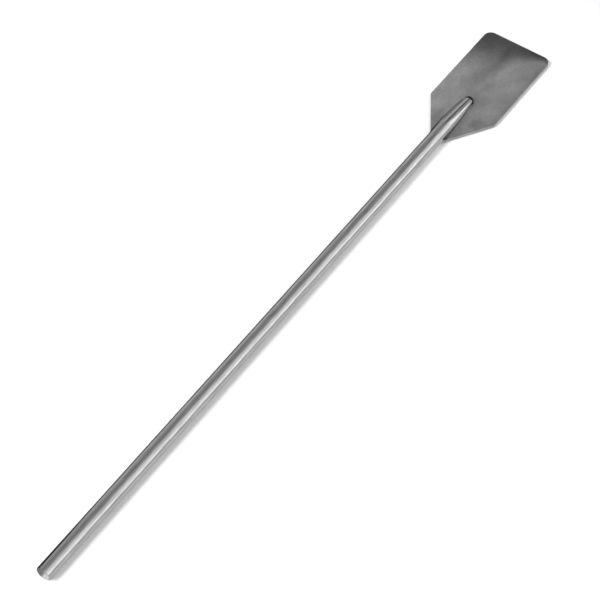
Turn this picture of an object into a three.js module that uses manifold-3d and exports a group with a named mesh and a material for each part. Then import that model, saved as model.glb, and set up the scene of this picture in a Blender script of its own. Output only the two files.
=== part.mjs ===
// Mortar mixing paddle: a round stainless tube with a tapered, closed nose that is slotted to
// hold a flat plate blade, a disc that caps its butt, and the weld runs that hold the three.
// Millimetres. The handle lies along +X towards the blade, +Z is up, and the tube rests on z = 0
// with the origin under the middle of the paddle's length.
import * as THREE from 'three';
import { mergeVertices } from 'three/addons/utils/BufferGeometryUtils.js';
import Module from 'manifold-3d';

const wasm = await Module();
wasm.setup();

// Driving dimensions
const OVERALL = 1219; // flat of the butt cap to the blade's outer edge
const TUBE_R = 12;
const TUBE_WALL = 1.5;
const BLADE_WIDTH = 121.5;
const BLADE_THICK = 3;
const BLADE_PARALLEL = 174; // outer edge back to the shoulder corners
const SHOULDER_RUN = 1.53; // length of a shoulder for each millimetre of its width
const ROOT_WIDTH = 18; // blade's inner end, hidden in the tube
const OUTER_CORNER_R = 13;
const SHOULDER_CORNER_R = 2.5;
const BLADE_DROP = 4.5; // tube's axis down to the blade's upper face
const NOSE_START = 990; // taper begins, from the butt
const NOSE_TAPER = 73;
const NOSE_END_HALF = 7; // half the nose's width at its end
const NOSE_END_RISE = 4.9; // and half its height: it is pressed flatter as it narrows
const NOSE_CURVE = 1.9; // 1 is a straight cone, more is a fuller, rounder one
const NOSE_CROWN = 4; // length of the rounded blunt end
const CAP_LENGTH = 4;
const CAP_FLAT_R = 11;
const CAP_ROUND = 1;
const WELD_LEG = 2.2;
const TIP_WELD_BUILD = 1.2; // how far the weld over the nose's end stands out from it
const TIP_WELD_LENGTH = 4; // and how far it reaches past it
const BUTT_WELD_WIDTH = 1.6;
const GAP = 0.3; // clearance between neighbouring solids

// Sizes that follow from them
const NOSE_END = NOSE_START + NOSE_TAPER;
const NOSE_LIFT = NOSE_END_RISE - BLADE_DROP; // the nose's underside lands on the blade's upper face
const BLADE_TOP = -BLADE_DROP;
const BLADE_BOTTOM = BLADE_TOP - BLADE_THICK;
const CORNER_X = OVERALL - BLADE_PARALLEL;
const ROOT_X = CORNER_X - (BLADE_WIDTH - ROOT_WIDTH) / 2 * SHOULDER_RUN;
const TUBE_X = CAP_LENGTH + BUTT_WELD_WIDTH + 2 * GAP;
const TURN_STEPS = 56;
const TAPER_STEPS = 12;
const CROWN_STEPS = 5;

const polished = () => new THREE.MeshStandardMaterial({ color: 0xc4c6c8, roughness: 0.2, metalness: 1 });
const satin = () => new THREE.MeshStandardMaterial({ color: 0x8e9092, roughness: 0.42, metalness: 1 });
const weldMetal = () => new THREE.MeshStandardMaterial({ color: 0x84827f, roughness: 0.5, metalness: 1 });

// A closed geometry as a manifold solid, and back again
function solid(geometry) {
  geometry.deleteAttribute('normal');
  geometry.deleteAttribute('uv');
  const merged = mergeVertices(geometry, 1e-4);
  const triangles = [];
  for (let i = 0; i < merged.index.count; i += 3) {
    const [a, b, c] = merged.index.array.slice(i, i + 3);
    if (a !== b && b !== c && c !== a) triangles.push(a, b, c);
  }
  return new wasm.Manifold(new wasm.Mesh({
    numProp: 3,
    vertProperties: new Float32Array(merged.attributes.position.array),
    triVerts: new Uint32Array(triangles),
  }));
}

function geometryOf(manifold) {
  const mesh = manifold.getMesh();
  const geometry = new THREE.BufferGeometry();
  geometry.setAttribute('position', new THREE.BufferAttribute(mesh.vertProperties, 3));
  geometry.setIndex(new THREE.BufferAttribute(mesh.triVerts, 1));
  geometry.computeVertexNormals();
  return geometry;
}

// A profile of (radius, distance along the handle) turned about the handle's axis
function turned(profile) {
  const geometry = new THREE.LatheGeometry(profile.map(([r, x]) => new THREE.Vector2(r, x)), TURN_STEPS);
  return geometry.rotateZ(-Math.PI / 2);
}

function flatPiece(outline, bottom, thickness) {
  const geometry = new THREE.ExtrudeGeometry(outline, { depth: thickness, bevelEnabled: false, curveSegments: 8 });
  return geometry.translate(0, 0, bottom);
}

// Share of the taper reached at x, from 0 at its start to 1 at its end
const taperShare = (x) => THREE.MathUtils.clamp((x - NOSE_START) / NOSE_TAPER, 0, 1);

// Half the handle's width at x, up to the start of the rounded crown
const handleRadius = (x) => TUBE_R - (TUBE_R - NOSE_END_HALF) * taperShare(x) ** NOSE_CURVE;

// Half its height
const handleRise = (x) => TUBE_R - (TUBE_R - NOSE_END_RISE) * taperShare(x) ** NOSE_CURVE;

// The nose's middle moves up as it narrows
const axisHeight = (x) => NOSE_LIFT * taperShare(x);

// Half the width of the handle where a level plane cuts it
function halfWidthAt(x, z) {
  const share = (z - axisHeight(x)) / handleRise(x);
  return handleRadius(x) * Math.sqrt(Math.max(1 - share ** 2, 0));
}

// Outer or inner line of the nose: the taper, then a quarter ellipse down to the axis
function noseLine(inset) {
  const line = [];
  for (let i = 0; i <= TAPER_STEPS; i++) {
    const x = NOSE_START + NOSE_TAPER * i / TAPER_STEPS;
    line.push([handleRadius(x) - inset, x]);
  }
  for (let i = 1; i <= CROWN_STEPS; i++) {
    const angle = Math.PI / 2 * i / CROWN_STEPS;
    const radius = i < CROWN_STEPS ? (NOSE_END_HALF - inset) * Math.cos(angle) : 0;
    line.push([radius, NOSE_END + (NOSE_CROWN - inset) * Math.sin(angle)]);
  }
  return line;
}

// Presses a round handle's nose flatter and moves it up
function shapeNose(geometry) {
  const position = geometry.attributes.position;
  for (let i = 0; i < position.count; i++) {
    const x = position.getX(i);
    position.setZ(i, position.getZ(i) * handleRise(x) / handleRadius(x) + axisHeight(x));
  }
  return geometry;
}

// The handle's outside as a solid bar, grown by a clearance, for cutting the welds to it
function handleBar(clearance) {
  const line = noseLine(-clearance);
  return solid(shapeNose(turned([[0, TUBE_X], [TUBE_R + clearance, TUBE_X], ...line])));
}

function handleTube() {
  const outside = [[TUBE_R, TUBE_X], ...noseLine(0)];
  const inside = [...noseLine(TUBE_WALL).reverse(), [TUBE_R - TUBE_WALL, TUBE_X]];
  const tube = solid(shapeNose(turned([...inside, ...outside])));
  const slotLength = NOSE_END + NOSE_CROWN - ROOT_X + 2 * GAP;
  const slot = new THREE.BoxGeometry(slotLength, 3 * TUBE_R, BLADE_THICK + 2 * GAP);
  slot.translate(ROOT_X - GAP + slotLength / 2, 0, (BLADE_TOP + BLADE_BOTTOM) / 2);
  return geometryOf(tube.subtract(solid(slot)));
}

// Rounds one corner of an outline: comes in along the line from the last point, leaves towards next
function roundCorner(outline, corner, next, radius) {
  const into = outline.currentPoint.clone().sub(corner).normalize();
  const out = next.clone().sub(corner).normalize();
  const halfAngle = Math.acos(into.dot(out)) / 2;
  const reach = radius / Math.tan(halfAngle);
  const start = into.clone().multiplyScalar(reach).add(corner);
  const middle = into.clone().add(out).normalize().multiplyScalar(radius / Math.sin(halfAngle)).add(corner);
  const end = out.multiplyScalar(reach).add(corner);
  outline.lineTo(start.x, start.y);
  const from = Math.atan2(start.y - middle.y, start.x - middle.x);
  const to = Math.atan2(end.y - middle.y, end.x - middle.x);
  outline.absarc(middle.x, middle.y, radius, from, to, false);
}

function blade() {
  const half = BLADE_WIDTH / 2;
  const corners = [
    [ROOT_X, -ROOT_WIDTH / 2, 0],
    [CORNER_X, -half, SHOULDER_CORNER_R],
    [OVERALL, -half, OUTER_CORNER_R],
    [OVERALL, half, OUTER_CORNER_R],
    [CORNER_X, half, SHOULDER_CORNER_R],
    [ROOT_X, ROOT_WIDTH / 2, 0],
  ].map(([x, y, radius]) => ({ point: new THREE.Vector2(x, y), radius }));
  const outline = new THREE.Shape();
  outline.moveTo(corners[0].point.x, corners[0].point.y);
  for (let i = 1; i < corners.length - 1; i++) {
    roundCorner(outline, corners[i].point, corners[i + 1].point, corners[i].radius);
  }
  outline.lineTo(corners.at(-1).point.x, corners.at(-1).point.y);
  outline.closePath();
  return flatPiece(outline, BLADE_BOTTOM, BLADE_THICK);
}

// Disc with a flat face and a rounded rim that closes the butt
function buttCap() {
  const profile = [[0, CAP_LENGTH], [TUBE_R, CAP_LENGTH]];
  for (let i = 0; i <= CROWN_STEPS; i++) {
    const angle = Math.PI / 2 * i / CROWN_STEPS;
    const radius = CAP_FLAT_R + (TUBE_R - CAP_FLAT_R) * Math.cos(angle);
    profile.push([radius, CAP_ROUND * (1 - Math.sin(angle))]);
  }
  profile.push([0, 0]);
  return turned(profile.reverse());
}

// Ring of weld between cap and tube, ground just below their surface
function buttWeld() {
  const near = CAP_LENGTH + GAP;
  const far = near + BUTT_WELD_WIDTH;
  const outer = TUBE_R - 0.1;
  const inner = TUBE_R - TUBE_WALL;
  return turned([[outer, near], [outer, far], [inner, far], [inner, near], [outer, near]]);
}

// A fillet run along one side of the nose on a level face of the blade, from one x to another.
// side is 1 for the left of the handle and -1 for the right; face is the blade face's height.
function sideWeld(side, face, bottom, from, to) {
  const steps = 14;
  const outer = [];
  const inner = [];
  for (let i = 0; i <= steps; i++) {
    const x = THREE.MathUtils.lerp(from, to, i / steps);
    const edge = halfWidthAt(x, face);
    outer.push(new THREE.Vector2(x, side * (edge + WELD_LEG)));
    inner.push(new THREE.Vector2(x, side * Math.max(edge - WELD_LEG, GAP)));
  }
  const run = solid(flatPiece(new THREE.Shape([...outer, ...inner.reverse()]), bottom, WELD_LEG));
  return geometryOf(run.subtract(handleBar(GAP)));
}

// The weld over the nose's blunt end: a rounded lump on it, and a fillet round its foot that joins
// the two side runs
function tipWeld(bottom, from) {
  const reach = handleRadius(NOSE_END) + WELD_LEG;
  const length = NOSE_CROWN + TIP_WELD_LENGTH;
  const outline = new THREE.Shape();
  outline.moveTo(from, -reach);
  outline.lineTo(NOSE_END, -reach);
  outline.absellipse(NOSE_END, 0, length, reach, -Math.PI / 2, Math.PI / 2, false);
  outline.lineTo(from, reach);
  outline.closePath();
  const foot = solid(flatPiece(outline, bottom, WELD_LEG));
  const radius = NOSE_END_HALF + TIP_WELD_BUILD;
  const profile = [[0, NOSE_END - 1]];
  for (let i = 0; i < TAPER_STEPS; i++) {
    const angle = Math.PI / 2 * i / TAPER_STEPS;
    profile.push([radius * Math.cos(angle), NOSE_END - 1 + (length + 1) * Math.sin(angle)]);
  }
  profile.push([0, NOSE_END + length]);
  const lump = solid(shapeNose(turned(profile))).trimByPlane([0, 0, 1], bottom);
  return geometryOf(foot.add(lump).subtract(handleBar(GAP)));
}

function piece(name, geometry, material) {
  const mesh = new THREE.Mesh(geometry, material);
  mesh.name = name;
  return mesh;
}

// Where the lip of tube below the blade ends: the nose's underside rises past the blade's underside
function lipEnd() {
  let x = NOSE_START;
  while (axisHeight(x) - handleRise(x) < BLADE_BOTTOM) x += 0.5;
  return x;
}

// A side run starts where the blade is wide enough to carry it
const weldStart = (face) => (
  ROOT_X + (TUBE_R + WELD_LEG - ROOT_WIDTH / 2) * SHOULDER_RUN - (TUBE_R - halfWidthAt(ROOT_X, face))
);
const tipWeldStart = NOSE_END - 4;
const onTop = BLADE_TOP + GAP;
const underneath = BLADE_BOTTOM - GAP - WELD_LEG;
const topRun = [onTop, weldStart(BLADE_TOP), tipWeldStart - GAP];
const bottomRun = [underneath, weldStart(BLADE_BOTTOM), lipEnd()];

const paddle = new THREE.Group();
paddle.add(
  piece('handle_tube', handleTube(), polished()),
  piece('blade', blade(), satin()),
  piece('butt_cap', buttCap(), polished()),
  piece('butt_weld', buttWeld(), weldMetal()),
  piece('top_weld_left', sideWeld(1, BLADE_TOP, ...topRun), weldMetal()),
  piece('top_weld_right', sideWeld(-1, BLADE_TOP, ...topRun), weldMetal()),
  piece('top_weld_tip', tipWeld(onTop, tipWeldStart), weldMetal()),
  piece('bottom_weld_left', sideWeld(1, BLADE_BOTTOM, ...bottomRun), weldMetal()),
  piece('bottom_weld_right', sideWeld(-1, BLADE_BOTTOM, ...bottomRun), weldMetal()),
);
paddle.position.set(-OVERALL / 2, 0, TUBE_R);

export default paddle;
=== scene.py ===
import math

import bmesh
import bpy
from mathutils import Matrix, Vector, noise


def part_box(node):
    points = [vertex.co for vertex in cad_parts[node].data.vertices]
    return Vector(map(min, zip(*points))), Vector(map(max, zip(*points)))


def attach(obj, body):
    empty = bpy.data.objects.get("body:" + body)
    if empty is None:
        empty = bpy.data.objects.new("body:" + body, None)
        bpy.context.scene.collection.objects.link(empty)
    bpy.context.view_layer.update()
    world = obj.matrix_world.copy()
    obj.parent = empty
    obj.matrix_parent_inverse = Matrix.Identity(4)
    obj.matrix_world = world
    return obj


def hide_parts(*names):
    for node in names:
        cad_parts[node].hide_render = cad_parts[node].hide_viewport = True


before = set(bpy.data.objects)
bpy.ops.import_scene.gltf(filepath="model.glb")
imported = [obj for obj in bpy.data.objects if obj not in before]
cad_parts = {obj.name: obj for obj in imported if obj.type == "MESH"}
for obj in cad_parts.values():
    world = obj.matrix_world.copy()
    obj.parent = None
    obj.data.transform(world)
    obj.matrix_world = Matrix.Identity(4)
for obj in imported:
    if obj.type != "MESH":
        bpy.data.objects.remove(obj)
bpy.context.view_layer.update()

# Metres, in the frame's own axes: +X along the handle to the blade, +Z up.
MM = 0.001
SHARP_ANGLE = 35  # degrees between two faces, above which their edge is left unsmoothed

# What the frame says
TUBE_LOW, TUBE_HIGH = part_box("handle_tube")
BLADE_LOW, BLADE_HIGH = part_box("blade")
CAP_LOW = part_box("butt_cap")[0]
RING_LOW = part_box("butt_weld")[0]
TUBE_R = (TUBE_HIGH.z - TUBE_LOW.z) / 2
AXIS_Z = TUBE_LOW.z + TUBE_R
HALF_WIDTH = BLADE_HIGH.y
BLADE_TOP = BLADE_HIGH.z
BLADE_BOTTOM = BLADE_LOW.z

# The handle: a wall with a tapered nose that rises as it narrows
TUBE_WALL = 1.5 * MM
NOSE_START = CAP_LOW.x + 990 * MM
NOSE_TAPER = 73 * MM
NOSE_END = NOSE_START + NOSE_TAPER
NOSE_END_HALF = 7.0 * MM  # half its width at the end
NOSE_END_RISE = 4.9 * MM  # half its height there, where it is pressed flatter
NOSE_CURVE = 1.9
NOSE_CROWN = TUBE_HIGH.x - NOSE_END
NOSE_LIFT = NOSE_END_RISE - (AXIS_Z - BLADE_TOP)
SLOT_PLAY = 0.04 * MM

# The blade
CORNER_X = BLADE_HIGH.x - 174 * MM
OUTER_CORNER_R = 13 * MM
SHOULDER_CORNER_R = 2.5 * MM
ROOT_HALF = 9 * MM
BLADE_EDGE_R = 0.45 * MM
BLADE_BOW = 0.16 * MM
BLADE_ACROSS = 32  # strips of mesh across the plate

# The cap
CAP_THICKNESS = RING_LOW.x - CAP_LOW.x
CAP_FLAT_R = 11 * MM
CAP_ROUND = 1 * MM  # depth of its rounded rim
CAP_CROWN = 1.4 * MM  # how far its face falls back at the sides
CAP_GRAIN_ANGLE = 114  # degrees from +Y towards +Z, the way the linishing marks run

# The welds
WELD_BITE = 0.2 * MM  # how far a run sinks into the plate


# ---------------------------------------------------------------- mesh helpers

def piece(name, vertices, faces, material, slot_name, nodes, sharp_angle=SHARP_ANGLE):
    """A smooth mesh object that rides on the paddle and stands for the CAD nodes named."""
    mesh = bpy.data.meshes.new(name)
    mesh.from_pydata([tuple(v) for v in vertices], [], faces)
    tidy = bmesh.new()
    tidy.from_mesh(mesh)
    bmesh.ops.remove_doubles(tidy, verts=tidy.verts, dist=0.002 * MM)
    bmesh.ops.recalc_face_normals(tidy, faces=tidy.faces)
    tidy.to_mesh(mesh)
    tidy.free()
    thing = bpy.data.objects.new(name, mesh)
    bpy.context.scene.collection.objects.link(thing)
    smooth(mesh, sharp_angle)
    mesh.materials.append(material)
    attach(thing, "root")
    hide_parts(*nodes)
    return thing


def smooth(mesh, sharp_angle):
    mesh.polygons.foreach_set("use_smooth", [True] * len(mesh.polygons))
    mesh.set_sharp_from_angle(angle=math.radians(sharp_angle))


def loft(rows, wrap=True, cap=False):
    """Vertices and quads through rows of points. wrap joins each row's ends, cap closes both ends."""
    across = len(rows[0])
    vertices = [point for row in rows for point in row]
    faces = []
    for i in range(len(rows) - 1):
        for j in range(across if wrap else across - 1):
            k = (j + 1) % across
            faces.append((i * across + j, i * across + k, (i + 1) * across + k, (i + 1) * across + j))
    if cap:
        faces.append(tuple(reversed(range(across))))
        faces.append(tuple((len(rows) - 1) * across + j for j in range(across)))
    return vertices, faces


def joined(*shells):
    """One list of vertices and one of faces, out of several such pairs."""
    vertices = []
    faces = []
    for shell_vertices, shell_faces in shells:
        offset = len(vertices)
        vertices += shell_vertices
        faces += [tuple(offset + i for i in face) for face in shell_faces]
    return vertices, faces


def ring(x, radius, centre_z, points, flatness=1.0):
    """A circle round the handle's axis at x, its height scaled by flatness."""
    found = []
    for i in range(points):
        angle = math.tau * i / points
        height = centre_z + flatness * radius * math.sin(angle)
        found.append(Vector((x, radius * math.cos(angle), height)))
    return found


# ---------------------------------------------------------------- handle

def taper_share(x):
    return min(max((x - NOSE_START) / NOSE_TAPER, 0), 1)


def axis_height(x):
    return AXIS_Z + NOSE_LIFT * taper_share(x)


def handle_radius(x):
    """Half the handle's width at x, the rounded crown included."""
    if x <= NOSE_END:
        return TUBE_R - (TUBE_R - NOSE_END_HALF) * taper_share(x) ** NOSE_CURVE
    reach = min((x - NOSE_END) / NOSE_CROWN, 1)
    return NOSE_END_HALF * math.sqrt(1 - reach * reach)


def flatness(x):
    """The handle's height at x as a share of its width there."""
    pressed = taper_share(x) ** NOSE_CURVE
    height = TUBE_R - (TUBE_R - NOSE_END_RISE) * pressed
    return height / (TUBE_R - (TUBE_R - NOSE_END_HALF) * pressed)


def handle_line(inset, taper_steps=48, crown_steps=14, straight_steps=24):
    """(x, radius) of the wall's outer line, or of a line inset from it, from the butt to the tip."""
    line = []
    for i in range(straight_steps):
        line.append((TUBE_LOW.x + (NOSE_START - TUBE_LOW.x) * i / straight_steps, TUBE_R - inset))
    for i in range(taper_steps + 1):
        x = NOSE_START + NOSE_TAPER * i / taper_steps
        line.append((x, handle_radius(x) - inset))
    for i in range(1, crown_steps + 1):
        angle = math.pi / 2 * i / crown_steps
        x = NOSE_END + (NOSE_CROWN - inset) * math.sin(angle)
        line.append((x, (NOSE_END_HALF - inset) * math.cos(angle)))
    return line


def cut_slot(handle):
    """Saws the slot for the blade through the nose."""
    overrun = 4 * MM
    length = TUBE_HIGH.x - BLADE_LOW.x + overrun
    centre = Vector((BLADE_LOW.x + length / 2 - SLOT_PLAY, 0, (BLADE_TOP + BLADE_BOTTOM) / 2))
    size = Vector((length, 4 * TUBE_R, BLADE_TOP - BLADE_BOTTOM + 2 * SLOT_PLAY))
    cutter_mesh = bpy.data.meshes.new("slot_cutter")
    box = bmesh.new()
    bmesh.ops.create_cube(box, size=1, matrix=Matrix.Translation(centre) @ Matrix.Diagonal((*size, 1)))
    box.to_mesh(cutter_mesh)
    box.free()
    cutter = bpy.data.objects.new("slot_cutter", cutter_mesh)
    bpy.context.scene.collection.objects.link(cutter)
    saw = handle.modifiers.new("slot", "BOOLEAN")
    saw.operation = "DIFFERENCE"
    saw.solver = "EXACT"
    saw.object = cutter
    cut = bpy.data.meshes.new_from_object(handle.evaluated_get(bpy.context.evaluated_depsgraph_get()))
    handle.modifiers.clear()
    whole = handle.data
    handle.data = cut
    bpy.data.meshes.remove(whole)
    bpy.data.objects.remove(cutter)
    bpy.data.meshes.remove(cutter_mesh)
    smooth(handle.data, SHARP_ANGLE)


def make_handle(material):
    """A hollow tube, from a line that runs down its bore to the butt and back along its outside."""
    round_points = 128
    line = list(reversed(handle_line(TUBE_WALL))) + handle_line(0)
    rows = [ring(x, radius, axis_height(x), round_points, flatness(x)) for x, radius in line]
    handle = piece("handle", *loft(rows), material, "tube_steel", ["handle_tube"])
    cut_slot(handle)
    return handle


# ---------------------------------------------------------------- blade

def arc_corner(before, corner, after, radius, steps):
    """Points and outward normals round one corner of an outline that runs anticlockwise."""
    into = (before - corner).normalized()
    out = (after - corner).normalized()
    half = math.acos(into.dot(out)) / 2
    middle = corner + (into + out).normalized() * (radius / math.sin(half))
    start = corner + into * (radius / math.tan(half)) - middle
    turn = math.pi - 2 * half
    found = []
    for i in range(steps + 1):
        normal = (Matrix.Rotation(turn * i / steps, 2) @ start).normalized()
        found.append((middle + normal * radius, normal))
    return found


def right_outline(slope_steps=24, side_steps=40):
    """(point, outward normal) along the blade's right side, from its root to its outer edge."""
    root = Vector((BLADE_LOW.x, -ROOT_HALF))
    shoulder = Vector((CORNER_X, -HALF_WIDTH))
    outer = Vector((BLADE_HIGH.x, -HALF_WIDTH))
    beyond = Vector((BLADE_HIGH.x, 0))
    slope = (shoulder - root).normalized()
    normal = Vector((slope.y, -slope.x))
    line = [(root, Vector((-1, 0)))]
    line += [(root.lerp(shoulder, i / slope_steps), normal) for i in range(1, slope_steps)]
    line += arc_corner(root, shoulder, outer, SHOULDER_CORNER_R, 5)
    first = line[-1][0]
    last = outer - Vector((OUTER_CORNER_R, 0))
    line += [(first.lerp(last, i / side_steps), Vector((0, -1))) for i in range(1, side_steps)]
    line += arc_corner(shoulder, outer, beyond, OUTER_CORNER_R, 18)
    return line


def whole_outline(right):
    """(point, outward normal) anticlockwise round the blade, given its right side."""
    left = [(Vector((p.x, -p.y)), Vector((n.x, -n.y))) for p, n in reversed(right)]
    shares = [j / BLADE_ACROSS for j in range(1, BLADE_ACROSS)]
    outer_edge = [(right[-1][0].lerp(left[0][0], share), Vector((1, 0))) for share in shares]
    root_edge = [(left[-1][0].lerp(right[0][0], share), Vector((-1, 0))) for share in shares]
    return right + outer_edge + left + root_edge


def blade_height(x, y):
    """How far the plate bows from flat there."""
    return BLADE_BOW * noise.noise(Vector((x * 9, y * 11, 3.7)))


def blade_face(right, z):
    """A grid over one face of the plate, which stops where the rounded edge starts."""
    rows = []
    for point, normal in right:
        inner = point - normal * BLADE_EDGE_R
        row = []
        for j in range(BLADE_ACROSS + 1):
            y = inner.y * (1 - 2 * j / BLADE_ACROSS)
            row.append(Vector((inner.x, y, z + blade_height(inner.x, y))))
        rows.append(row)
    return loft(rows, wrap=False)


def blade_rim(outline, steps=4):
    """The plate's rounded edge, from its upper face down to its lower one."""
    profile = []
    for i in range(steps + 1):
        angle = math.pi / 2 * i / steps
        profile.append((BLADE_EDGE_R * (1 - math.sin(angle)), BLADE_EDGE_R * (1 - math.cos(angle))))
    thickness = BLADE_TOP - BLADE_BOTTOM
    profile += [(inset, thickness - drop) for inset, drop in reversed(profile)]
    rows = []
    for inset, drop in profile:
        row = []
        for point, normal in outline:
            place = point - normal * inset
            inner = point - normal * BLADE_EDGE_R
            row.append(Vector((place.x, place.y, BLADE_TOP - drop + blade_height(inner.x, inner.y))))
        rows.append(row)
    return loft(rows)


def make_blade(material):
    """A plate: two faces of one grid each, joined round the outline by a rounded edge."""
    right = right_outline()
    top = blade_face(right, BLADE_TOP)
    low_vertices, low_faces = blade_face(right, BLADE_BOTTOM)
    bottom = low_vertices, [tuple(reversed(face)) for face in low_faces]
    shell = joined(top, bottom, blade_rim(whole_outline(right)))
    return piece("blade_plate", *shell, material, "blade_steel", ["blade"], sharp_angle=50)


# ---------------------------------------------------------------- butt

def make_cap(material):
    """A disc with a small rounded rim, its face crowned a little across the way it was linished."""
    round_points = 128
    flat_steps = 12
    rim_steps = 10
    line = [(0, CAP_FLAT_R * i / flat_steps) for i in range(flat_steps + 1)]
    for i in range(1, rim_steps + 1):
        angle = math.pi / 2 * i / rim_steps
        depth = CAP_ROUND * (1 - math.cos(angle))
        line.append((depth, CAP_FLAT_R + (TUBE_R - CAP_FLAT_R) * math.sin(angle)))
    line += [(CAP_THICKNESS, TUBE_R), (CAP_THICKNESS, 0)]
    rows = []
    for depth, radius in line:
        row = []
        for point in ring(CAP_LOW.x, radius, AXIS_Z, round_points):
            across = cap_across(point)
            crown = CAP_CROWN * across * across * (1 - depth / CAP_THICKNESS)
            row.append(Vector((CAP_LOW.x + depth + crown, point.y, point.z)))
        rows.append(row)
    return piece("butt_cap_disc", *loft(rows), material, "cap_steel", ["butt_cap"])


def cap_across(point):
    """How far across the linishing marks a point of the cap lies, from -1 to 1."""
    turn = math.radians(CAP_GRAIN_ANGLE)
    return (point.y * math.sin(turn) - (point.z - AXIS_Z) * math.cos(turn)) / TUBE_R


def make_butt_weld(material):
    """The ground ring between cap and tube, a hair below their surface and slightly uneven."""
    round_points = 160
    deepest = 0.05 * MM
    rows = []
    for share in (0, 0.25, 0.5, 0.75, 1):
        x = RING_LOW.x + (TUBE_LOW.x - RING_LOW.x) * share
        row = []
        for i in range(round_points):
            angle = math.tau * i / round_points
            uneven = noise.noise(Vector((math.cos(angle) * 9, math.sin(angle) * 9, share * 2)))
            radius = TUBE_R - deepest * (1 - abs(2 * share - 1)) * (1 + 0.6 * uneven)
            row.append(Vector((x, radius * math.cos(angle), AXIS_Z + radius * math.sin(angle))))
        rows.append(row)
    rows.append(ring(TUBE_LOW.x, TUBE_R - TUBE_WALL, AXIS_Z, round_points))
    rows.append(ring(RING_LOW.x, TUBE_R - TUBE_WALL, AXIS_Z, round_points))
    rows.append(rows[0])
    return piece("butt_weld_ring", *loft(rows), material, "ground_weld", ["butt_weld"])


# ---------------------------------------------------------------- welds

def footprint(height, start, steps=400):
    """Plan of the nose cut at a height, from its left side at start, round the tip, to its right."""
    hair = 0.01 * MM
    left = []
    for i in range(steps + 1):
        share = math.sin(math.pi / 2 * i / steps)
        x = start + (TUBE_HIGH.x - start) * share
        span = handle_radius(x) ** 2 - ((height - axis_height(x)) / flatness(x)) ** 2
        if span <= 0:
            break
        left.append(Vector((x, math.sqrt(span))))
    tip = Vector((left[-1].x + hair, 0))
    return left + [tip] + [Vector((p.x, -p.y)) for p in reversed(left)]


def even_spacing(points, spacing):
    """The line again as (point, distance along it), with its points a fixed distance apart."""
    found = [(points[0], 0.0)]
    travelled = 0.0
    wanted = spacing
    for a, b in zip(points, points[1:]):
        length = (b - a).length
        while length > 0 and travelled + length >= wanted:
            found.append((a.lerp(b, (wanted - travelled) / length), wanted))
            wanted += spacing
        travelled += length
    return found


def ripple(distance, pitch):
    """Height of a stack of overlapping puddles, from 0 at each seam to 1 on each crown."""
    phase = distance / pitch + 0.25 * noise.noise(Vector((distance * 700, 0, 0)))
    return math.sqrt(max(1 - (2 * (phase % 1) - 1) ** 2, 0))


def bead(line, face_z, up, leg_at, seed):
    """Section rows of a fillet bead along a plan line. up is 1 on the upper face and -1 below.
    leg_at gives the bead's width on the plate and its height up the nose."""
    pitch = 1.6 * MM
    root_depth = 1.2 * MM
    top_depth = 0.15 * MM
    bulge_steps = 7
    sunk_z = face_z - up * WELD_BITE
    rows = []
    for i, (point, distance) in enumerate(line):
        before = line[max(i - 1, 0)][0]
        after = line[min(i + 1, len(line) - 1)][0]
        along = (after - before).normalized()
        outward = Vector((-along.y, along.x))
        leg, rise = leg_at(point)
        uneven = 1 + 0.10 * noise.noise(Vector((distance * 160, seed, 0)))
        crest = ripple(distance, pitch)
        toe = point + outward * leg * uneven * (0.92 + 0.12 * crest)
        top = point - outward * top_depth
        root = point - outward * root_depth
        row = [Vector((toe.x, toe.y, sunk_z))]
        for k in range(bulge_steps + 1):
            share = k / bulge_steps
            lift = rise * uneven * share
            swell = 0.7 * (0.16 + 0.10 * crest) * rise * math.sin(math.pi * share)
            place = toe.lerp(top, share) + outward * swell
            row.append(Vector((place.x, place.y, face_z + up * (lift + swell))))
        row.append(Vector((root.x, root.y, face_z + up * rise * 0.7)))
        row.append(Vector((root.x, root.y, sunk_z)))
        rows.append(row)
    return rows


def make_nose_welds(material):
    """A run along each side of the nose on the upper face, and one each side of the lip below."""
    side_leg = 1.1 * MM
    side_rise = 1.2 * MM
    blob_leg = 3.2 * MM
    blob_length = 14 * MM
    spacing = 0.25 * MM
    overlap = 8  # sections of each upper run that lie under the weld round the tip
    top_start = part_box("top_weld_left")[0].x
    top_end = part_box("top_weld_left")[1].x
    low_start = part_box("bottom_weld_left")[0].x

    def top_leg(point):
        """The upper runs begin with a blob at the blade's root."""
        blob = blob_leg * math.exp(-(point.x - top_start) / blob_length)
        return side_leg + blob, side_rise + blob

    def low_leg(point):
        return side_leg, side_rise

    line = even_spacing(footprint(BLADE_TOP + side_rise, top_start), spacing)
    one_side = next(i for i, (point, _) in enumerate(line) if point.x > top_end) + overlap
    low_line = even_spacing(footprint(BLADE_BOTTOM - side_rise, low_start), spacing)
    middle = len(low_line) // 2
    left = bead(line[:one_side], BLADE_TOP, 1, top_leg, seed=14)
    right = bead(line[len(line) - one_side:], BLADE_TOP, 1, top_leg, seed=15)
    low_left = bead(low_line[:middle + 1], BLADE_BOTTOM, -1, low_leg, seed=13)
    low_right = bead(low_line[middle:], BLADE_BOTTOM, -1, low_leg, seed=14)
    runs = [
        ("nose_weld_left", left, "top_weld_left"),
        ("nose_weld_right", right, "top_weld_right"),
        ("lip_weld_left", low_left, "bottom_weld_left"),
        ("lip_weld_right", low_right, "bottom_weld_right"),
    ]
    for name, rows, node in runs:
        piece(name, *loft(rows, cap=True), material, "weld_metal", [node], sharp_angle=60)


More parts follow.
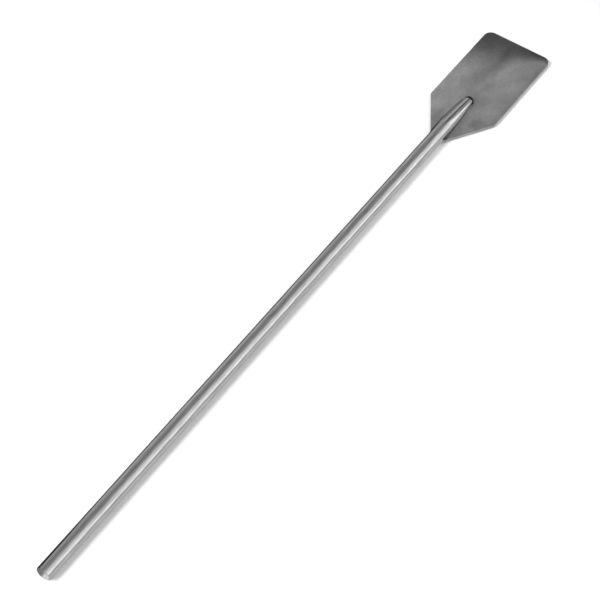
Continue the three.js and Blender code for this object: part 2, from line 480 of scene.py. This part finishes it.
def make_tip_weld(material):
    """The lump of weld over the nose's blunt end, laid in rings, with a fillet round its foot."""
    around = 72
    up_steps = 26
    back = NOSE_END + 0.3 * MM
    middle_z = AXIS_Z + NOSE_LIFT
    foot_z = BLADE_TOP - WELD_BITE
    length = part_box("top_weld_tip")[1].x - back
    dome_length = length * 0.86
    half = NOSE_END_HALF + 0.4 * MM
    half_rise = NOSE_END_RISE + 0.7 * MM
    flare = 1.6 * MM
    ring_pitch = 1.5 * MM
    ring_height = 0.12 * MM
    lump_height = 0.25 * MM

    def place(turn, rise, shrink, shift):
        """A point at an angle round the end, and a height from 0 at the blade to 1 on the top."""
        height = (middle_z + half_rise - BLADE_TOP) * rise
        above = BLADE_TOP + height - middle_z
        reach = math.sqrt(max(1 - (above / half_rise) ** 2, 0)) if above > 0 else 1
        foot = flare * max(1 - height / flare, 0) ** 2
        forward = (dome_length * reach + foot) * math.cos(turn)
        sideways = (half * reach + foot / 2) * math.sin(turn)
        rings = ripple(forward + 0.3 * height, ring_pitch) * ring_height * (1 - rise)
        lumps = lump_height * noise.noise(Vector((forward, sideways, height)) * 260)
        swell = 1 + (rings + lumps) / half - shrink
        if above > 0:
            height *= swell
        return Vector((back - shift + forward * swell, sideways * swell, BLADE_TOP + height))

    # The back edge is drawn in and back by two steps on each side, to lie inside the nose
    tucks = [(0.22, 0.8 * MM), (0.06, 0.6 * MM)]
    sections = [(-math.pi / 2, shrink, shift) for shrink, shift in tucks]
    sections += [(-math.pi / 2 + math.pi * i / around, 0, 0) for i in range(around + 1)]
    sections += [(math.pi / 2, shrink, shift) for shrink, shift in reversed(tucks)]
    rows = []
    for turn, shrink, shift in sections:
        low = place(turn, 0, shrink, shift)
        row = [Vector((back - shift, 0, foot_z)), Vector((low.x, low.y, foot_z))]
        for k in range(up_steps + 1):
            rise = math.sin(math.pi / 2 * k / up_steps)
            row.append(place(turn, rise, shrink, shift))
        rows.append(row)
    vertices, faces = loft(rows, wrap=False)
    across = len(rows[0])
    last = (len(rows) - 1) * across
    faces.append(tuple(range(across)) + tuple(last + j for j in reversed(range(across))))
    piece("nose_weld_tip", vertices, faces, material, "weld_metal", ["top_weld_tip"], sharp_angle=60)


# ---------------------------------------------------------------- materials

def add(tree, kind, inputs=None, **settings):
    """A node with its settings, and inputs that are values or the sockets that feed them."""
    made = tree.nodes.new(kind)
    for key, value in settings.items():
        setattr(made, key, value)
    for key, value in (inputs or {}).items():
        if isinstance(value, bpy.types.NodeSocket):
            tree.links.new(value, made.inputs[key])
        else:
            made.inputs[key].default_value = value
    return made


def metal(name, metallic=1.0):
    """A metal material to build on: its node tree, its shader and the paddle's own coordinates."""
    material = bpy.data.materials.new(name)
    material.use_nodes = True
    tree = material.node_tree
    shader = tree.nodes["Principled BSDF"]
    shader.inputs["Metallic"].default_value = metallic
    place = add(tree, "ShaderNodeTexCoord").outputs["Object"]
    return material, tree, shader, place


def scaled_noise(tree, place, scale, detail=3.0, roughness=0.5):
    """Noise with a scale for each axis, per metre."""
    mapping = add(tree, "ShaderNodeMapping", {"Vector": place, "Scale": scale})
    settings = {"Vector": mapping.outputs[0], "Scale": 1.0, "Detail": detail, "Roughness": roughness}
    return add(tree, "ShaderNodeTexNoise", settings).outputs["Fac"]


def to_range(tree, value, low, high, start=0.3, stop=0.7, **settings):
    """Spreads start to stop, by default where noise mostly lies, over low to high, and clamps."""
    inputs = {"Value": value, "From Min": start, "From Max": stop, "To Min": low, "To Max": high}
    return add(tree, "ShaderNodeMapRange", inputs, **settings).outputs[0]


def blend(tree, factor, first, second):
    return add(tree, "ShaderNodeMix", {"Factor": factor, "A": first, "B": second}).outputs["Result"]


def calculate(tree, operation, *values):
    """One operation on the first two values, then on that result and the next, and so on."""
    total = values[0]
    for value in values[1:]:
        total = add(tree, "ShaderNodeMath", {0: total, 1: value}, operation=operation).outputs[0]
    return total


def sum_of(tree, *values):
    return calculate(tree, "ADD", *values)


def product_of(tree, *values):
    return calculate(tree, "MULTIPLY", *values)


def length_of(tree, x, y):
    square = sum_of(tree, product_of(tree, x, x), product_of(tree, y, y))
    return add(tree, "ShaderNodeMath", {0: square}, operation="SQRT").outputs[0]


def grey(tree, value):
    return add(tree, "ShaderNodeCombineColor", {"Red": value, "Green": value, "Blue": value}).outputs[0]


def bump(tree, height, distance, under=None):
    inputs = {"Height": height, "Distance": distance, "Strength": 1.0}
    if under is not None:
        inputs["Normal"] = under
    return add(tree, "ShaderNodeBump", inputs).outputs[0]


def polished_steel(name, dullest):
    """Polished tube: fine lengthwise grain, faint handling smears and a few hairline scratches."""
    material, tree, shader, place = metal(name)
    grain = scaled_noise(tree, place, (5, 900, 900), detail=4)
    smears = scaled_noise(tree, place, (9, 45, 45), detail=5, roughness=0.6)
    streaks = scaled_noise(tree, place, (40, 380, 380), detail=2)
    scratches = scaled_noise(tree, place, (30, 2400, 2400), detail=1)
    scratch_mask = to_range(tree, scratches, 0.0, 1.0, start=0.68, stop=0.74)
    tone = sum_of(
        tree,
        to_range(tree, smears, 0.67, 0.73),
        to_range(tree, streaks, -0.10, 0.10),
        product_of(tree, scratch_mask, -0.06),
    )
    tree.links.new(grey(tree, tone), shader.inputs["Base Color"])
    roughness = sum_of(
        tree,
        to_range(tree, smears, dullest * 0.6, dullest),
        to_range(tree, grain, -0.02, 0.02),
        product_of(tree, scratch_mask, 0.08),
    )
    tree.links.new(roughness, shader.inputs["Roughness"])
    waves = scaled_noise(tree, place, (7, 30, 30), detail=1)
    normal = bump(tree, waves, 0.04 * MM)
    normal = bump(tree, grain, 0.0006 * MM, normal)
    tree.links.new(normal, shader.inputs["Normal"])
    return material


def satin_steel(name):
    """Rolled plate: cloudy and grained, with a painted dark reflection at its outer end, darker on the
    right, painted shade along its right edge and round the nose, a painted floor reflection on its
    edge, and a dark line at the nose's left foot.
    """
    material, tree, shader, place = metal(name, metallic=0.82)
    parts = add(tree, "ShaderNodeSeparateXYZ", {"Vector": place})
    along = parts.outputs["X"]
    across = parts.outputs["Y"]
    clouds = scaled_noise(tree, place, (13, 17, 13), detail=3)
    patches = scaled_noise(tree, place, (38, 52, 38), detail=4, roughness=0.55)
    mottle = scaled_noise(tree, place, (240, 240, 240), detail=4, roughness=0.65)
    grain = scaled_noise(tree, place, (25, 1500, 1500), detail=3)
    right_half = to_range(tree, across, 0.76, 1.0, start=-HALF_WIDTH, stop=16 * MM)
    # Painted shade, darker along the plate's right edge
    right_rim_shade = to_range(tree, across, 0.84, 1.0, start=-HALF_WIDTH, stop=10 * MM - HALF_WIDTH)
    # Painted reflection of the white floor: the plate's edge and underside are painted lighter
    edge_floor_reflection = to_range(
        tree, parts.outputs["Z"], 1.4, 1.0, start=BLADE_TOP - 0.9 * MM, stop=BLADE_TOP - 0.4 * MM
    )
    tone = product_of(
        tree,
        to_range(tree, clouds, 0.50, 0.645),
        to_range(tree, patches, 0.89, 1.11),
        to_range(tree, mottle, 0.91, 1.09),
        outer_dark_reflection(tree, along, across, clouds),
        right_half,
        right_rim_shade,
        edge_floor_reflection,
        painted_shade_and_patch(tree, along, across, patches),
        left_seam(tree, along, across),
    )
    tree.links.new(grey(tree, tone), shader.inputs["Base Color"])
    roughness = sum_of(tree, to_range(tree, patches, 0.34, 0.44), to_range(tree, grain, -0.03, 0.04))
    tree.links.new(roughness, shader.inputs["Roughness"])
    normal = bump(tree, clouds, 0.35 * MM)
    normal = bump(tree, grain, 0.0012 * MM, normal)
    tree.links.new(normal, shader.inputs["Normal"])
    return material


def outer_dark_reflection(tree, along, across, clouds):
    """Painted dark reflection that fades in from the plate's outer end, and fades sooner the farther
    right it is.
    """
    span = 200 * MM
    inward = to_range(tree, along, span, 0.0, start=BLADE_HIGH.x - span, stop=BLADE_HIGH.x)
    right = to_range(tree, across, 2.9, 0.0, start=-58 * MM, stop=12 * MM)
    sooner = sum_of(tree, product_of(tree, right, right), 1.0)
    wander = to_range(tree, clouds, -12 * MM, 12 * MM)
    distance = sum_of(tree, product_of(tree, inward, sooner), wander)
    eased = {"interpolation_type": "SMOOTHSTEP"}
    return to_range(tree, distance, 0.25, 1.0, start=0.0, stop=132 * MM, **eased)


def painted_shade_and_patch(tree, along, across, patches):
    """Painted shade on the plate round the nose, ahead of it and at its foot, and a dark patch by the
    right shoulder.
    """

    def spot(x, y, darkest, reach):
        """A dark patch round a point of the plate, with a ragged edge."""
        off = length_of(tree, sum_of(tree, along, -x), sum_of(tree, across, -y))
        ragged = sum_of(tree, off, to_range(tree, patches, -5 * MM, 5 * MM))
        return to_range(tree, ragged, darkest, 1.0, start=reach / 3, stop=reach)

    # Painted shade round the nose and ahead of its tip, and painted shade in the corner at the nose's
    # foot
    past_tip = calculate(tree, "MAXIMUM", sum_of(tree, along, -NOSE_END), 0.0)
    nose_shade = to_range(tree, length_of(tree, past_tip, across), 0.85, 1.0, start=9 * MM, stop=34 * MM)
    shade_ahead = spot(NOSE_END + 24 * MM, 3 * MM, 0.86, 36 * MM)
    foot = spot(NOSE_START + 15 * MM, 22 * MM, 0.74, 26 * MM)
    shoulder = spot(CORNER_X - 15 * MM, -42 * MM, 0.8, 18 * MM)
    return product_of(tree, nose_shade, shade_ahead, foot, shoulder)


def left_seam(tree, along, across):
    """A dark line on the plate at the foot of the left weld, up to the nose's end."""
    share = to_range(tree, along, 0.0, 1.0, start=NOSE_START, stop=NOSE_END)
    narrowing = calculate(tree, "POWER", share, NOSE_CURVE)
    nose_half = to_range(tree, narrowing, TUBE_R, NOSE_END_HALF, start=0.0, stop=1.0)
    from_nose = sum_of(tree, across, product_of(tree, nose_half, -1.0))
    seam = to_range(tree, from_nose, 0.05, 1.0, start=4 * MM, stop=5.5 * MM)
    on_right = to_range(tree, across, 1.0, 0.0, start=-1 * MM, stop=0.0)
    past_end = to_range(tree, along, 0.0, 1.0, start=NOSE_END - 2 * MM, stop=NOSE_END + 3 * MM)
    return calculate(tree, "MAXIMUM", on_right, past_end, seam)


def weld_steel(name, darkest, lightest):
    """Filler metal: dull and dark with oxide, and scaly. On the tip its darkest tone also stands in for
    painted shade.
    """
    material, tree, shader, place = metal(name, metallic=0.7)
    scale = scaled_noise(tree, place, (700, 700, 700), detail=4)
    patches = scaled_noise(tree, place, (120, 120, 120), detail=2)
    tone = product_of(tree, to_range(tree, scale, darkest, lightest), to_range(tree, patches, 0.7, 1.3))
    tree.links.new(grey(tree, tone), shader.inputs["Base Color"])
    tree.links.new(to_range(tree, scale, 0.38, 0.6), shader.inputs["Roughness"])
    tree.links.new(bump(tree, scale, 0.02 * MM), shader.inputs["Normal"])
    return material


# ---------------------------------------------------------------- stage, light and camera

def make_floor():
    """A plain white floor, left out of reflections."""
    mesh = bpy.data.meshes.new("floor")
    half = 9.0
    corners = [(-half, -half, 0), (half, -half, 0), (half, half, 0), (-half, half, 0)]
    mesh.from_pydata(corners, [], [(0, 1, 2, 3)])
    floor = bpy.data.objects.new("floor", mesh)
    bpy.context.scene.collection.objects.link(floor)
    material = bpy.data.materials.new("floor_white")
    material.use_nodes = True
    shader = material.node_tree.nodes["Principled BSDF"]
    shader.inputs["Base Color"].default_value = (0.93, 0.93, 0.93, 1)
    shader.inputs["Roughness"].default_value = 1.0
    shader.inputs["Specular IOR Level"].default_value = 0.0
    mesh.materials.append(material)
    floor.visible_glossy = False


# The studio's long lights and dark flags, as the tube and plate see them: degrees round the handle's
# axis, from +Y over the top to -Y and then under, and how bright it is there
STUDIO_BANDS = [
    (-180, 0.57), (-172, 0.46), (-164, 0.45), (-155, 0.57), (-146, 0.64), (-125, 0.58), (-80, 0.45),
    (-60, 0.05), (-14, 0.08), (-6, 0.3), (3, 0.44), (15, 0.50), (32, 0.39), (45, 0.30), (56, 0.25),
    (70, 0.23), (82, 0.245), (94, 0.28), (103, 0.36), (117, 0.59), (129, 0.76), (139, 0.78),
    (148, 0.88), (160, 1.24), (168, 1.08), (175, 0.68), (180, 0.57),
]
# The same as the nose sees them, without the strip light that slants across it
NOSE_BANDS = [
    (-180, 0.36), (-140, 0.4), (-80, 0.4), (-60, 0.08), (0, 0.08), (10, 0.34), (25, 0.38), (45, 0.46),
    (56, 0.45), (66, 0.28), (76, 0.11), (86, 0.1), (96, 0.2), (106, 0.34), (122, 0.34), (140, 0.27),
    (180, 0.36),
]
# The same as the end of the butt sees them, where the tube does not look
BUTT_BANDS = [
    (-180, 0.5), (-100, 0.45), (-78, 0.4), (-74, 0.5), (-72, 0.9), (-67, 0.85), (-64.5, 0.25),
    (-55, 0.22), (-45, 0.3), (-30, 0.1), (0, 0.3), (180, 0.5),
]


def band_ramp(tree, share, bands):
    """Brightness by the share of a turn from -180 degrees."""
    ramp = add(tree, "ShaderNodeValToRGB", {"Fac": share})
    stops = ramp.color_ramp.elements
    while len(stops) < len(bands):
        stops.new(0.5)
    for stop, (degrees, level) in zip(stops, bands):
        stop.position = (degrees + 180) / 360
        stop.color = (level, level, level, 1)
    return ramp.outputs["Color"]


def tube_light(tree, along, angle, share):
    """What the tube and plate see. Low on the left, a dark flag stands beside the butt."""
    low_left = to_range(tree, angle, 1.0, 0.0, start=math.radians(5), stop=math.radians(30))
    not_under = to_range(tree, angle, 0.0, 1.0, start=math.radians(-80), stop=math.radians(-60))
    beside_butt = to_range(tree, along, -1.0, 0.0, start=0.325, stop=0.355)
    flag = product_of(tree, low_left, not_under, beside_butt)
    return product_of(tree, band_ramp(tree, share, STUDIO_BANDS), sum_of(tree, flag, 1.0))


def nose_light(tree, along, angle, share):
    """What the nose sees: its bands, and a strip light that stands higher the farther off it is."""
    climb = product_of(tree, sum_of(tree, along, -0.62), math.radians(230))
    above = sum_of(tree, angle, product_of(tree, climb, -1.0))
    strip = to_range(tree, above, 0.0, 1.0, start=math.radians(108), stop=math.radians(131))
    not_under = to_range(tree, angle, 1.0, 0.0, start=math.radians(172), stop=math.radians(180))
    reach = to_range(tree, along, 0.95, 0.2, start=0.757, stop=0.778)
    light = sum_of(tree, band_ramp(tree, share, NOSE_BANDS), product_of(tree, strip, not_under, reach))
    far_end = to_range(tree, along, 1.0, 0.08, start=0.87, stop=0.92)
    return product_of(tree, light, far_end)


def make_world():
    """Bands of brightness parallel to the handle, with others for the nose and for the butt's end.
    The camera itself sees a plain pale backdrop."""
    backdrop = 0.9
    world = bpy.data.worlds.new("studio")
    bpy.context.scene.world = world
    world.use_nodes = True
    tree = world.node_tree
    tree.nodes.clear()
    direction = add(tree, "ShaderNodeTexCoord").outputs["Generated"]
    parts = add(tree, "ShaderNodeSeparateXYZ", {"Vector": direction})
    along = parts.outputs["X"]
    angle = calculate(tree, "ARCTAN2", parts.outputs["Z"], parts.outputs["Y"])
    share = to_range(tree, angle, 0.0, 1.0, start=-math.pi, stop=math.pi)
    toward_nose = to_range(tree, along, 0.0, 1.0, start=0.575, stop=0.61)
    toward_butt = to_range(tree, along, 1.0, 0.0, start=-0.3, stop=-0.1)
    beside = tube_light(tree, along, angle, share)
    over = blend(tree, toward_nose, beside, nose_light(tree, along, angle, share))
    reflected = blend(tree, toward_butt, over, band_ramp(tree, share, BUTT_BANDS))
    camera_ray = add(tree, "ShaderNodeLightPath").outputs["Is Camera Ray"]
    shown = blend(tree, camera_ray, reflected, backdrop)
    background = add(tree, "ShaderNodeBackground", {"Color": shown, "Strength": 1.0})
    output = add(tree, "ShaderNodeOutputWorld")
    tree.links.new(background.outputs[0], output.inputs["Surface"])


def area_light(name, place, length, width, power):
    """A soft light aimed at the paddle's middle, long along it, and left out of reflections."""
    data = bpy.data.lights.new(name, "AREA")
    data.shape = "RECTANGLE"
    data.size = length
    data.size_y = width
    data.energy = power
    light = bpy.data.objects.new(name, data)
    toward = Vector(place).normalized()
    along = (Vector((1, 0, 0)) - toward * toward.x).normalized()
    turn = Matrix((along, toward.cross(along), toward)).transposed().to_4x4()
    light.matrix_world = Matrix.Translation(Vector(place)) @ turn
    light.visible_glossy = False
    light.visible_camera = False
    bpy.context.scene.collection.objects.link(light)


def make_lights():
    area_light("key", (-4.4, 1.96, 4.8), 4.4, 2.2, 425)
    area_light("left_side", (-2.4, 4.4, 4.8), 2.0, 2.0, 40)
    area_light("fill", (-0.4, -1.8, 5.2), 1.0, 1.0, 34)
    area_light("head_fill", (0.53, -0.15, 0.30), 0.08, 0.08, 0.2)
    area_light("end_fill", (0.72, 0.0, 0.2), 0.1, 0.1, 0.14)


CAMERA_AZIMUTH = math.radians(-53.25)
CAMERA_ELEVATION = math.radians(52.96)
CAMERA_ROLL = math.radians(-1.31)
CAMERA_DISTANCE = 3.005
CAMERA_LENS = 120
# Where the paddle's middle sits from the picture's centre
MIDDLE_RIGHT = 7.1 * MM
MIDDLE_UP = 25.7 * MM


def make_camera():
    forward = Vector((
        -math.sin(CAMERA_AZIMUTH) * math.cos(CAMERA_ELEVATION),
        math.cos(CAMERA_AZIMUTH) * math.cos(CAMERA_ELEVATION),
        -math.sin(CAMERA_ELEVATION),
    ))
    level = Vector((math.cos(CAMERA_AZIMUTH), math.sin(CAMERA_AZIMUTH), 0))
    upright = level.cross(forward)
    right = level * math.cos(CAMERA_ROLL) + upright * math.sin(CAMERA_ROLL)
    up = upright * math.cos(CAMERA_ROLL) - level * math.sin(CAMERA_ROLL)
    data = bpy.data.cameras.new("camera")
    data.lens = CAMERA_LENS
    data.sensor_width = 36
    data.clip_end = 50
    camera = bpy.data.objects.new("camera", data)
    place = Vector((0, 0, AXIS_Z)) - forward * CAMERA_DISTANCE - right * MIDDLE_RIGHT - up * MIDDLE_UP
    turn = Matrix((right, up, -forward)).transposed().to_4x4()
    camera.matrix_world = Matrix.Translation(place) @ turn
    bpy.context.scene.collection.objects.link(camera)
    bpy.context.scene.camera = camera


make_camera()
make_handle(polished_steel("polished_tube_steel", 0.13))
make_cap(polished_steel("polished_cap_steel", 0.08))
make_butt_weld(polished_steel("ground_weld_steel", 0.16))
make_blade(satin_steel("satin_plate_steel"))
make_nose_welds(weld_steel("weld_filler_steel", 0.08, 0.17))
# The tip's weld is painted near black: its own dark filler and the painted shade round the nose's tip
make_tip_weld(weld_steel("tip_weld_steel_and_painted_shade", 0.02, 0.06))
make_floor()
make_world()
make_lights()
bpy.context.scene.view_settings.view_transform = "Standard"
